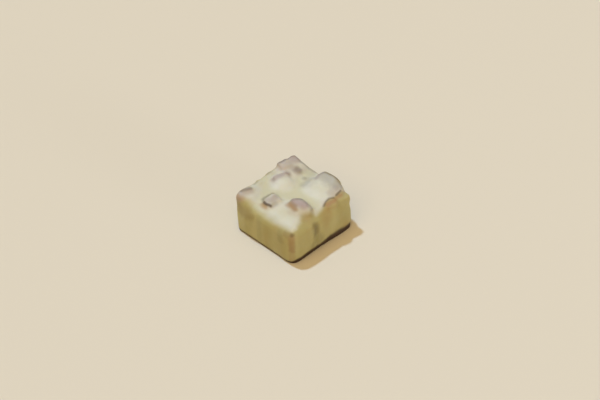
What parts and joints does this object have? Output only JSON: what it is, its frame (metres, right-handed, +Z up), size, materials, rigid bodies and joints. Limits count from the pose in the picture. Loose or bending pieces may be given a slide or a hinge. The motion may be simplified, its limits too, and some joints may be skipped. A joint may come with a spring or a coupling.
{
  "type": "chocolate praline bite",
  "caption": "Square nut praline dipped in pale ivory chocolate, lumpy where chopped nuts stand up under the coat, brown where the coat is thin.",
  "frame": {"origin": "middle of the flat underside, on the surface the bite rests on", "axes": "+Z up; the four sides face along X and Y, with the slightly longer side along Y; the picture looks in over the corner between +X and -Y"},
  "size_m": [0.0262, 0.0274, 0.0143],
  "materials": {
    "ivory_coat": "satin pale chocolate coat, smooth and slightly wavy, showing brown praline where it ran thin over nuts and edges"
  },
  "bodies": {
    "root": {"coated_praline": "ivory_coat"}
  },
  "joints": []
}
